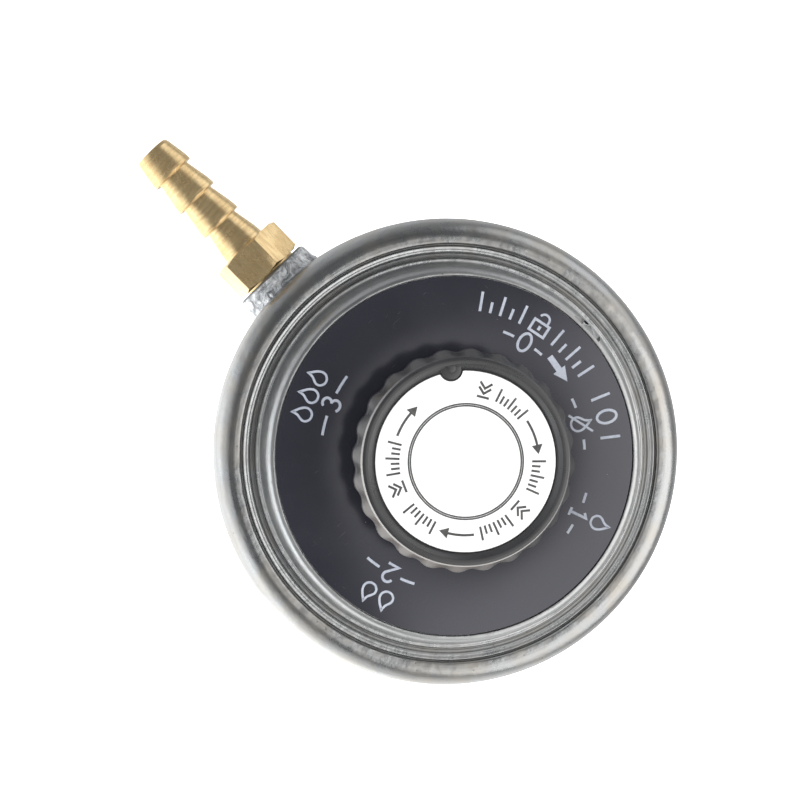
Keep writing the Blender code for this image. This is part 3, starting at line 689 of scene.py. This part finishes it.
# ---------------------------------------------------------------- print marks
class Print:
    """Flat printed strokes, collected into one thin mesh."""

    def __init__(self, name, z, thick=0.018):
        self.name, self.z, self.thick = name, z, thick
        self.verts, self.faces = [], []
        self.layer = 0

    def _outline(self, quads):
        base = len(self.verts)
        self.layer += 1
        lift = self.z + self.thick + 0.0006 * (self.layer % 7)
        for x, y in quads:
            self.verts.append((x * MM, y * MM, lift * MM))
        return base

    def poly(self, pts):
        b = self._outline(pts)
        self.faces.append(tuple(range(b, b + len(pts))))

    def strip(self, left, right, closed=False):
        n = len(left)
        b = self._outline(list(left) + list(right))
        for i in range(n if closed else n - 1):
            j = (i + 1) % n
            self.faces.append((b + i, b + n + i, b + n + j, b + j))

    def stroke(self, pts, width, closed=False):
        p = np.array(pts, float)
        n = len(p)
        left, right = [], []
        for i in range(n):
            if closed:
                a, c = p[i - 1], p[(i + 1) % n]
            else:
                a, c = p[max(i - 1, 0)], p[min(i + 1, n - 1)]
            d0 = p[i] - a if (closed or i > 0) else c - p[i]
            d1 = c - p[i] if (closed or i < n - 1) else p[i] - a
            d0 = d0 / np.linalg.norm(d0)
            d1 = d1 / np.linalg.norm(d1)
            n0 = np.array([-d0[1], d0[0]])
            n1 = np.array([-d1[1], d1[0]])
            m = n0 + n1
            m = m / max(np.linalg.norm(m), 1e-6)
            k = width / 2 / max(float(m @ n0), 0.45)
            left.append(p[i] + m * k)
            right.append(p[i] - m * k)
        self.strip(left, right, closed)

    def build(self, mat):
        mesh = bpy.data.meshes.new(self.name)
        mesh.from_pydata(self.verts, [], self.faces)
        bm = bmesh.new()
        bm.from_mesh(mesh)
        for f in bm.faces:
            f.normal_update()
            if f.normal.z < 0:
                f.normal_flip()
        long = [f for f in bm.faces if len(f.verts) > 4]
        bmesh.ops.triangulate(bm, faces=long)
        bm.to_mesh(mesh)
        bm.free()
        return new_object(self.name, mesh, [mat])


def polar_map(angle, radius):
    """Local (u, v) in mm, u reading clockwise and v outwards, to the dial's plane."""

    def put(pts):
        out = []
        for u, v in pts:
            r = radius + v
            a = angle - u / radius
            out.append((r * math.cos(a), r * math.sin(a)))
        return out

    return put


def straight_map(angle, radius, turn=0.0):
    c, s = math.cos(angle), math.sin(angle)
    ct, st = math.cos(turn), math.sin(turn)

    def put(pts):
        out = []
        for u, v in pts:
            u, v = u * ct - v * st, u * st + v * ct
            # u clockwise: (s, -c); v outwards: (c, s)
            out.append((radius * c + u * s + v * c, radius * s - u * c + v * s))
        return out

    return put


def arc(cx, cy, rx, ry, a0, a1, n=18):
    return [(cx + rx * math.cos(math.radians(a0 + (a1 - a0) * i / n)), cy + ry * math.sin(math.radians(a0 + (a1 - a0) * i / n))) for i in range(n + 1)]


def digit(which, h=3.3):
    """Stroke shapes of a numeral, centred, in mm."""
    k = h / 3.3
    if which == 0:
        shapes = [(arc(0, 0, 0.95, 1.5, 90, 450, 32)[:-1], True)]
    elif which == 1:
        shapes = [([(-0.6, 0.95), (0.15, 1.5), (0.15, -1.5)], False), ([(-0.55, -1.5), (0.85, -1.5)], False)]
    elif which == 2:
        shapes = [(arc(0, 0.65, 0.9, 0.9, 165, -35, 16) + [(-0.95, -1.5), (1.0, -1.5)], False)]
    else:
        shapes = [(arc(0, 0.78, 0.82, 0.76, 150, -80, 16), False), (arc(0, -0.72, 0.95, 0.82, 80, -150, 18), False)]
    return [([(x * k, y * k) for x, y in pts], closed) for pts, closed in shapes]


def flame(h=3.2):
    """A plain flame outline."""
    k = h / 3.2
    pts = smooth_curve([(-0.1, 1.62), (0.32, 1.12), (0.80, 0.48), (1.10, -0.25), (1.02, -0.95), (0.55, -1.45), (0.0, -1.58),
                        (-0.55, -1.45), (-1.02, -0.95), (-1.08, -0.35), (-0.80, 0.15), (-0.42, 0.62), (-0.22, 1.1), (-0.1, 1.62)], 3)
    return [(x * k, y * k) for x, y in pts[:-1]]


dial = Print("dial_print", Z0)
W = 0.42


def put_digit(d, mapper, h=3.3, width=W):
    for pts, closed in digit(d, h):
        dial.stroke(mapper(pts), width, closed)


def station(angle_deg, level, r_out, r_in):
    """Flames on the outer row, the numeral between two dashes on the inner row."""
    a = math.radians(angle_deg)
    span = 3.1
    for i in range(level):
        u = (i - (level - 1) / 2) * span
        m = straight_map(a - u / r_out, r_out)
        dial.stroke(m(flame(3.05)), 0.36, True)
    m = polar_map(a, r_in)
    put_digit(level, straight_map(a, r_in), 3.05)
    w = 0.9 + 0.75 * level
    for side in (-1, 1):
        dial.stroke(m([(side * (1.9 + w * t), 0.0) for t in np.linspace(0, 1, 6)]), W)


# image angle minus 134 degrees gives the angle in this frame
station(22.8, 3, 25.1, 21.3)      # high
station(105.9, 2, 25.3, 21.1)     # medium
station(-159.6, 1, 25.5, 21.7)    # low

# off: a nought in a ring of ticks
a = math.radians(-120.0)
put_digit(0, straight_map(a, 24.9), 3.5)
for u in (-3.3, 3.3):
    m = straight_map(a - u / 24.9, 24.9)
    dial.stroke(m([(0, -1.6), (0, 1.6)]), W)
m = straight_map(a, 20.6)
dial.stroke(m(flame(3.2)), 0.36, True)
dial.stroke(m([(-1.7, -1.6), (1.7, 1.6)]), 0.36)
mm_ = polar_map(a, 20.6)
for side in (-1, 1):
    dial.stroke(mm_([(side * (2.6 + 1.6 * t), 0.0) for t in np.linspace(0, 1, 5)]), W)

# locked: a padlock between ticks on the outer row, then nought and the arrow
a = math.radians(-77.6)
m = straight_map(a, 24.7)
dial.stroke(m([(-1.35, -1.55), (1.35, -1.55), (1.35, 0.35), (-1.35, 0.35)]), W, True)
dial.stroke(m([(-0.85, 0.45), (-0.85, 0.95)] + arc(0, 0.95, 0.85, 0.85, 180, 0, 12) + [(0.85, 0.45)]), 0.36)
dial.stroke(m([(0.0, -0.95), (0.0, -0.25)]), 0.5)
mm_ = polar_map(a, 24.7)
for side in (-1, 1):
    for i in range(5):
        u = side * (3.3 + 1.75 * i)
        dial.stroke(mm_([(u, -1.55), (u, 1.55)] if i % 2 == 0 else [(u, -1.55), (u, 0.2)]), W)
a = math.radians(-75.6)
put_digit(0, straight_map(a, 21.0), 3.3)
mm_ = polar_map(a, 21.0)
dial.stroke(mm_([(-1.9 - 1.9 * t, 0.0) for t in np.linspace(0, 1, 5)]), W)
dial.stroke(mm_([(1.9 + 1.5 * t, 0.0) for t in np.linspace(0, 1, 5)]), W)
# solid arrow from locked to off
c = math.radians(-94.3)
m = straight_map(c, 21.35, math.radians(-4.0))
dial.poly(m([(-2.4, -0.5), (0.15, -0.5), (0.15, -1.15), (2.45, 0.0), (0.15, 1.15), (0.15, 0.5), (-2.4, 0.5)]))
dial_print = dial.build(INK_LIGHT)
piece(dial_print, "housing", "cap_white")

# ======================================================================== knob
KT = KNOB_TOP
knob_profile = rounded(
    [(4.4, 44.95), (13.9, 44.95), (13.97, 45.30, 0.06), (14.10, 45.38, 0.05), (14.18, 45.50, 0.05), (14.62, 45.92, 0.12),
     (14.84, KT - 0.03, 0.12), (15.30, KT - 0.015, 0.4), (15.70, KT - 0.05, 0.15), (15.86, KT - 0.16, 0.06), (15.94, 45.74, 0.05), (15.97, 45.62, 0.05),
     (17.04, 43.72, 0.12), (17.13, 43.40, 0.15), (17.15, 42.4, 1.5), (16.85, 40.2, 2.0), (16.42, 37.6, 0.8),
     (16.2, 36.85, 0.3), (15.85, 36.52, 0.2), (14.9, 36.52, 0.15), (14.65, 36.9, 0.2), (14.4, 42.4), (13.8, 43.2), (6.4, 43.2),
     (6.3, 39.9, 0.2), (3.6, 39.9), (3.6, 41.2), (4.4, 41.2), (4.4, 44.95)], 4)
# the bevel under the ring is split up so that the scallops can run into it
bevel_i = min(range(len(knob_profile)), key=lambda k: math.hypot(knob_profile[k][0] - 15.985, knob_profile[k][1] - 45.60))
knob_profile = np.vstack([
    knob_profile[:bevel_i + 1],
    [knob_profile[bevel_i] + (knob_profile[bevel_i + 1] - knob_profile[bevel_i]) * t for t in (0.15, 0.3, 0.45, 0.6, 0.75, 0.88)],
    knob_profile[bevel_i + 1:],
])
CREST = math.radians(-2.9)


def knob_shape(r, z, a):
    if r > 15.985 and z < 45.6 or z < 43.0 and r > 15.5:
        top = min(1.0, max(0.0, (45.6 - z) / 1.8))
        c = 0.5 - 0.5 * math.cos(SCALLOPS * (a - CREST))
        depth = 0.52 * c ** 1.25 * top
        if r < 16.3 and z < 37.0:
            depth *= 0.8
        return r - depth, z
    return r, z


knob = lathe("knob_shell", knob_profile, SCALLOPS * 16, [KNOB, SKIRT, EDGE], [(lambda r, z: r > 15.78 and 45.56 < z < KT - 0.04, 2), (lambda r, z: r > 15.9 and 43.3 < z < 45.7, 1)], shape=knob_shape)

# pointer: a rounded block standing in the cap's notch, with a nub on it
pr = 14.15
prot = Matrix.Rotation(POINTER, 4, "Z")
pad = lathe("pad", rounded([(0.0, 45.74), (1.58, 45.74, 0.18), (1.6, 44.5), (0.0, 44.5)], 4), 48, [KNOB], closed=False)
pad.data.transform(prot @ Matrix.Translation((pr * MM, 0, 0)))
boolean(knob, pad, "UNION")
nub = lathe("nub", rounded([(0.0, 45.98), (0.72, 45.98, 0.2), (0.78, 45.5), (0.0, 45.5)], 4), 32, [KNOB], closed=False)
nub.data.transform(prot @ Matrix.Translation(((pr + 0.15) * MM, 0, 0)))
boolean(knob, nub, "UNION")
finish_smooth(knob, 36.0)
piece(knob, "knob_body", "knob_black", "knob")

# ------------------------------------------------------------------- knob cap
cap = lathe("cap_film", rounded([(0.0, CAP_TOP), (13.74, CAP_TOP, 0.10), (13.74, 45.06), (0.0, 45.06)], 4), 192, [CAP], closed=False)
cut_ = lathe("cut", [(0.0, 47.0), (1.86, 47.0), (1.86, 44.0), (0.0, 44.0)], 48, [CAP], closed=False)
cut_.data.transform(prot @ Matrix.Translation((pr * MM, 0, 0)))
boolean(cap, cut_, "DIFFERENCE")
finish_smooth(cap, 50.0)
piece(cap, "knob_body", "cap_white", "knob_cap")

capp = Print("cap_print", CAP_TOP, 0.012)
ring = [(math.cos(t), math.sin(t)) for t in np.linspace(0, 2 * PI, 145)[:-1]]
for r_ in (8.45, 8.75):
    capp.stroke([(r_ * x, r_ * y) for x, y in ring], 0.25, True)


def cap_arrow(mid_deg, half_deg, r, clockwise):
    s = -1 if clockwise else 1
    a0, a1 = mid_deg - s * half_deg, mid_deg + s * half_deg
    pts = [(r * math.cos(math.radians(a0 + (a1 - a0) * t)), r * math.sin(math.radians(a0 + (a1 - a0) * t))) for t in np.linspace(0, 0.86, 20)]
    capp.stroke(pts, 0.38)
    tip = math.radians(a1)
    back = math.radians(a1 - s * 7.5)
    capp.poly([(r * math.cos(tip), r * math.sin(tip)), ((r + 0.85) * math.cos(back), (r + 0.85) * math.sin(back)),
               ((r - 0.85) * math.cos(back), (r - 0.85) * math.sin(back))])


def cap_ticks(a0, a1, count, r0, r1, tall=()):
    for i in range(count):
        t = math.radians(a0 + (a1 - a0) * i / max(count - 1, 1))
        top = r1 if i in tall or not tall else r0 + (r1 - r0) * 0.62
        capp.stroke([(r0 * math.cos(t), r0 * math.sin(t)), (top * math.cos(t), top * math.sin(t))], 0.34)


def cap_press(mid_deg, r):
    """Press mark: a chevron onto a bar, pointing at the knob's centre."""
    m = straight_map(math.radians(mid_deg), r)
    capp.stroke(m([(-0.95, 1.15), (0.0, 0.25), (0.95, 1.15)]), 0.36)
    capp.stroke(m([(-0.95, 0.35), (0.0, -0.55), (0.95, 0.35)]), 0.36)
    capp.stroke(m([(-0.95, -1.1), (0.95, -1.1)]), 0.36)


P = -35.0
RM = 11.15
for k, start in enumerate((P - 24.0, P - 141.0, P - 258.0)):
    cap_press(start, RM)
    cap_ticks(start - 12.0, start - 36.0, 7, RM - 1.05, RM + 1.10, (0, 3, 6))
    cap_arrow(start - 56.0, 14.0, RM, True)
    if k < 2:
        cap_ticks(start - 75.5, start - 99.5, 7, RM - 1.05, RM + 1.10, (0, 3, 6))
cap_print = capp.build(INK_DARK)
piece(cap_print, "knob_body", "knob_black")

# =================================================================== hose barb
barb_pts = [(2.25, TIP_X - 0.35), (2.4, TIP_X - 0.02, 0.1), (2.95, TIP_X - 0.02, 0.2), (3.2, TIP_X - 0.6, 0.2)]
for step in (63.3, 57.8, 52.3, 46.8):
    barb_pts += [(3.70, step + 1.5, 0.5), (3.79, step + 0.62, 0.3), (3.79, step + 0.02, 0.10), (2.95, step - 0.03, 0.12)]
barb_pts = barb_pts[:-2] + [(3.79, 46.6), (3.3, 46.0), (3.3, 41.6), (4.85, 41.2), (4.85, 34.1), (4.5, 33.6), (2.25, 33.6)]
hb = lathe("hose_barb_turned", rounded(barb_pts, 4), 128, [BRASS], x_axis=True)
finish_smooth(hb, 34.0)

hex_r = 11.1 / math.sqrt(3)
bm = bmesh.new()
bmesh.ops.create_cone(bm, cap_ends=True, segments=6, radius1=hex_r * MM, radius2=hex_r * MM, depth=5.85 * MM)
bmesh.ops.transform(bm, matrix=Matrix.Rotation(math.radians(30.0), 4, "Z"), verts=bm.verts)
mesh = bpy.data.meshes.new("hex")
bm.to_mesh(mesh)
bm.free()
mesh.transform(Matrix.Translation((0, 0, 43.925 * MM)))
hexa = new_object("hexagon_turned", mesh, [BRASS_HEX])
chamfer = lathe("chamfer", rounded([(0.0, 46.82), (5.55, 46.82, 0.15), (6.6, 46.3), (6.6, 41.5), (5.6, 41.02, 0.15), (0.0, 41.02)], 3), 128, [BRASS_HEX], closed=False)
boolean(hexa, chamfer, "INTERSECT")
core = lathe("core", [(0.0, 48.0), (3.6, 48.0), (3.6, 39.0), (0.0, 39.0)], 64, [BRASS_HEX], closed=False)
boolean(hexa, core, "DIFFERENCE")
hexa.data.transform(
    Matrix.Translation((0, 0, OUTLET_Z * MM)) @ Matrix.Rotation(PI / 2, 4, "Y") @ Matrix.Rotation(HEX_TURN, 4, "Z")
)
mod = hexa.modifiers.new("soften", "BEVEL")
mod.width = 0.10 * MM
mod.segments = 3
mod.limit_method = "ANGLE"
mod.angle_limit = math.radians(28.0)
mod.use_clamp_overlap = True
mod.harden_normals = False
bpy.context.view_layer.update()
mesh = bpy.data.meshes.new_from_object(hexa.evaluated_get(bpy.context.evaluated_depsgraph_get()))
hexa.modifiers.clear()
hexa.data = mesh
finish_smooth(hexa, 30.0)
piece(hb, "housing", "brass", "hose_barb")
piece(hexa, "housing", "brass")

# ========================================================== pieces in the socket
probe = lathe(
    "probe_turned",
    rounded([(0.0, 4.82), (1.45, 4.82, 0.3), (2.18, 5.5, 0.3), (2.18, 9.5, 0.2), (2.55, 10.0, 0.2), (5.35, 10.3, 0.25), (5.95, 10.95, 0.2),
             (5.95, 12.4), (4.4, 12.4), (4.4, 14.0), (3.0, 14.0), (3.0, 11.1), (1.1, 11.1), (1.1, 7.5), (0.0, 7.5)], 4),
    96, [BRASS_Z], closed=False,
)
side_hole = lathe("side_hole", [(0.0, 4.0), (0.6, 4.0), (0.6, -4.0), (0.0, -4.0)], 24, [BRASS_Z], closed=False)
side_hole.data.transform(Matrix.Translation((0, 0, 8.5 * MM)) @ Matrix.Rotation(PI / 2, 4, "X"))
boolean(probe, side_hole, "DIFFERENCE")
finish_smooth(probe, 34.0)
piece(probe, "housing", "brass", "inlet_probe")
gasket = lathe(
    "gasket_moulded",
    rounded([(6.3, 12.45), (11.8, 12.45), (11.8, 11.2, 0.4), (10.6, 11.2, 0.1), (10.3, 11.45, 0.1), (10.0, 11.2, 0.1), (6.3, 11.2, 0.2), (6.3, 12.45)], 4),
    128, [RUBBER],
)
finish_smooth(gasket, 40.0)
piece(gasket, "housing", "rubber", "inlet_gasket")

# ======================================================= springs, wound and closed
def coil(name, radius, wire, z0, z1, turns, per, dead):
    """A closed-end compression spring as a round tube, in mm."""
    lo, hi = z0 + wire, z1 - wire
    rise = dead * 2.12 * wire
    path = []
    count = int(turns * per) + 1
    for i in range(count):
        t = turns * i / (count - 1)
        if t < dead:
            z = lo + t * 2.12 * wire
        elif t > turns - dead:
            z = hi - (turns - t) * 2.12 * wire
        else:
            z = lo + rise + (hi - lo - 2 * rise) * (t - dead) / (turns - 2 * dead)
        path.append(Vector((radius * math.cos(2 * PI * t), radius * math.sin(2 * PI * t), z)))
    verts, faces, sides = [], [], 10
    for i, q in enumerate(path):
        run = (path[min(i + 1, count - 1)] - path[max(i - 1, 0)]).normalized()
        out = Vector((q.x, q.y, 0.0)).normalized()
        up = run.cross(out).normalized()
        w = wire * (0.72 if i in (0, count - 1) else 1.0)
        for k in range(sides):
            t = 2 * PI * k / sides
            verts.append((q + (out * math.cos(t) + up * math.sin(t)) * w) * MM)
    for i in range(count - 1):
        for k in range(sides):
            a, b = i * sides + k, i * sides + (k + 1) % sides
            faces.append((a, b, b + sides, a + sides))
    faces.append(tuple(range(sides))[::-1])
    faces.append(tuple(range((count - 1) * sides, count * sides)))
    mesh = bpy.data.meshes.new(name)
    mesh.from_pydata([tuple(v) for v in verts], [], faces)
    mesh.shade_smooth()
    bm = bmesh.new()
    bm.from_mesh(mesh)
    bmesh.ops.recalc_face_normals(bm, faces=bm.faces[:])
    bm.to_mesh(mesh)
    bm.free()
    return finish_smooth(new_object(name, mesh, [SPRING]), 50.0)


def sprung(name, node, joint, z0, z1, give, *shape):
    obj = coil(name, shape[0], shape[1], z0, z1, *shape[2:])
    piece(obj, "housing", "spring_steel", node)
    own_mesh(obj)



sprung("knob_spring_wound", "knob_spring", "knob_push", 37.66, 43.11, 2.0, 7.3, 0.39, 3.25, 40, 0.6)
sprung("main_spring_wound", "main_spring", "seat_travel", 24.51, 32.64, 2.9, 7.6, 0.59, 4.0, 40, 0.75)
sprung("poppet_spring_wound", "poppet_spring", "poppet_travel", 12.26, 14.81, 0.9, 2.1, 0.19, 4.0, 32, 0.5)

# ================================================ finishes on the remaining nodes
INNER = {
    "spring_seat": ZINC_CAST, "seat_insert": BRASS_Z, "poppet": BRASS_Z, "diaphragm_stud": BRASS_Z, "spindle": BRASS_Z,
    "inlet_filter": BRONZE, "diaphragm": RUBBER, "spindle_oring": RUBBER, "poppet_seal": RUBBER, "diaphragm_plate": STEEL,
    "diaphragm_nut": STEEL, "stop_pin": STEEL, "knob_screw": STEEL, "knob_washer": STEEL, "main_spring": SPRING,
    "knob_spring": SPRING, "poppet_spring": SPRING, "thrust_washer": NYLON,
}
for node, m in INNER.items():
    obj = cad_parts[node]
    if not obj.material_slots:
        obj.data.materials.append(m)
    for s_ in obj.material_slots:
        s_.material = m

# ======================================================================= stage
floor_s = Shade("floor_paper", Roughness=0.9)
fv = floor_s.coords()
fb = floor_s.mix(floor_s.span(floor_s.noise(fv, 9.0, 2.0, 0.5), 0.3, 0.7, 0.0, 1.0), (0.90, 0.90, 0.905), (0.93, 0.93, 0.93))
floor_mat = floor_s.out(Base_Color=fb, Emission_Color=(1.0, 1.0, 1.0), Emission_Strength=0.92)
bm = bmesh.new()
bmesh.ops.create_circle(bm, cap_ends=True, segments=96, radius=2.2)
mesh = bpy.data.meshes.new("floor")
bm.to_mesh(mesh)
bm.free()
mesh.transform(Matrix.Translation((0, 0, -0.0002)))
floor = new_object("floor", mesh, [floor_mat])
floor.visible_glossy = False


# Sky: a pale studio with soft bright and dark quarters, set by direction only.
def toward(image_deg, polar_deg):
    """A direction: degrees counter-clockwise in the picture, degrees from straight up."""
    a, p = math.radians(image_deg - 134.0), math.radians(polar_deg)
    return (math.cos(a) * math.sin(p), math.sin(a) * math.sin(p), math.cos(p))


world = bpy.data.worlds.new("studio")
bpy.context.scene.world = world
world.use_nodes = True
wt = world.node_tree
bg = wt.nodes["Background"]
tc = wt.nodes.new("ShaderNodeTexCoord")


def w_math(op, a, b, c=None):
    n = wt.nodes.new("ShaderNodeMath")
    n.operation = op
    for i, v in enumerate((a, b, c)):
        if v is None:
            continue
        if isinstance(v, bpy.types.NodeSocket):
            wt.links.new(v, n.inputs[i])
        else:
            n.inputs[i].default_value = v
    return n.outputs[0]


def lobe(direction, inner_deg, outer_deg, colour, strength):
    d = wt.nodes.new("ShaderNodeVectorMath")
    d.operation = "DOT_PRODUCT"
    wt.links.new(tc.outputs["Generated"], d.inputs[0])
    d.inputs[1].default_value = direction
    m = wt.nodes.new("ShaderNodeMapRange")
    m.interpolation_type = "SMOOTHSTEP"
    wt.links.new(d.outputs["Value"], m.inputs[0])
    m.inputs[1].default_value = math.cos(math.radians(outer_deg))
    m.inputs[2].default_value = math.cos(math.radians(inner_deg))
    m.inputs[3].default_value = 0.0
    m.inputs[4].default_value = strength
    v = wt.nodes.new("ShaderNodeVectorMath")
    v.operation = "SCALE"
    v.inputs[0].default_value = colour
    wt.links.new(m.outputs[0], v.inputs["Scale"])
    return v.outputs[0]


def add(a, b):
    n = wt.nodes.new("ShaderNodeVectorMath")
    n.operation = "ADD"
    wt.links.new(a, n.inputs[0])
    wt.links.new(b, n.inputs[1])
    return n.outputs[0]


LOBES = [
    (toward(-30, 52), 38, 47.5, (1.0, 0.985, 0.965), 1.42),
    (toward(6, 62), 10, 46, (1.0, 0.92, 0.84), 0.30),
    (toward(190, 85), 10, 50, (0.97, 0.985, 1.0), 0.80),
    (toward(205, 130), 20, 55, (1.0, 1.0, 0.99), 1.05),
    (toward(232, 78), 8, 38, (1.0, 0.99, 0.97), 0.70),
    (toward(-95, 120), 10, 50, (1.0, 0.98, 0.95), 0.80),
    (toward(0, 180), 20, 80, (1.0, 1.0, 1.0), 0.45),
    (toward(50, 80), 8, 34, (1.0, 1.0, 1.0), 0.9),
    (toward(130, 105), 10, 50, (0.96, 0.98, 1.0), 0.25),
]
sep = wt.nodes.new("ShaderNodeSeparateXYZ")
wt.links.new(tc.outputs["Generated"], sep.inputs[0])
hz = wt.nodes.new("ShaderNodeMapRange")
hz.interpolation_type = "SMOOTHSTEP"
wt.links.new(sep.outputs[2], hz.inputs[0])
hz.inputs[1].default_value = 0.42
hz.inputs[2].default_value = 0.0
hz.inputs[3].default_value = 0.16
hz.inputs[4].default_value = 0.28
grey = wt.nodes.new("ShaderNodeVectorMath")
grey.operation = "SCALE"
grey.inputs[0].default_value = (0.97, 0.985, 1.0)
wt.links.new(hz.outputs[0], grey.inputs["Scale"])
total = grey.outputs[0]
for one in LOBES:
    total = add(total, lobe(*one))
wt.links.new(total, bg.inputs["Color"])
bg.inputs["Strength"].default_value = 1.0
# what the camera itself sees behind the floor is the same pale paper
paper = wt.nodes.new("ShaderNodeBackground")
paper.inputs["Color"].default_value = (0.93, 0.935, 0.94, 1.0)
seen = wt.nodes.new("ShaderNodeLightPath")
both = wt.nodes.new("ShaderNodeMixShader")
wt.links.new(seen.outputs["Is Camera Ray"], both.inputs[0])
wt.links.new(bg.outputs[0], both.inputs[1])
wt.links.new(paper.outputs[0], both.inputs[2])
wt.links.new(both.outputs[0], wt.nodes["World Output"].inputs["Surface"])


def softbox(name, image_deg, polar_deg, distance, size, power, colour):
    light = bpy.data.lights.new(name, "AREA")
    light.shape = "RECTANGLE"
    light.size, light.size_y = size
    light.energy = power
    light.color = colour
    obj = bpy.data.objects.new(name, light)
    bpy.context.scene.collection.objects.link(obj)
    d = Vector(toward(image_deg, polar_deg))
    obj.location = d * distance + Vector((0, 0, 0.02))
    obj.rotation_euler = d.to_track_quat("Z", "Y").to_euler()
    obj.visible_camera = False
    obj.visible_glossy = False
    return obj


softbox("key", -20, 46, 0.75, (0.34, 0.5), 1.2, (1.0, 0.985, 0.96))
softbox("fill", 152, 42, 0.75, (0.5, 0.5), 3.6, (0.985, 0.99, 1.0))
softbox("left", 200, 66, 0.75, (0.25, 0.45), 1.2, (0.97, 0.985, 1.0))

# ====================================================================== camera
CAM_POS = (40.229, 13.299, 316.348)      # mm
CAM_TX, CAM_TY, CAM_ROLL = 0.0378, 0.1014, 0.0058
FOCAL_PX = 1812.83


def rotation3(axis, t):
    c, s = math.cos(t), math.sin(t)
    if axis == 0:
        return Matrix(((1, 0, 0), (0, c, -s), (0, s, c)))
    if axis == 1:
        return Matrix(((c, 0, s), (0, 1, 0), (-s, 0, c)))
    return Matrix(((c, -s, 0), (s, c, 0), (0, 0, 1)))


a, b = math.radians(-134.0), math.radians(-44.0)
level = Matrix(((math.cos(a), math.sin(a), 0), (math.cos(b), math.sin(b), 0), (0, 0, 1)))
rows = rotation3(2, CAM_ROLL) @ rotation3(0, CAM_TX) @ rotation3(1, CAM_TY) @ level
cam_data = bpy.data.cameras.new("camera")
cam_data.sensor_width = 36.0
cam_data.lens = FOCAL_PX / 800 * 36.0
cam_data.clip_start = 0.01
cam_data.clip_end = 20.0
cam = bpy.data.objects.new("camera", cam_data)
bpy.context.scene.collection.objects.link(cam)
cam.matrix_world = Matrix.Translation(Vector(CAM_POS) * MM) @ rows.transposed().to_4x4()
bpy.context.scene.camera = cam
bpy.context.scene.view_settings.view_transform = "Standard"
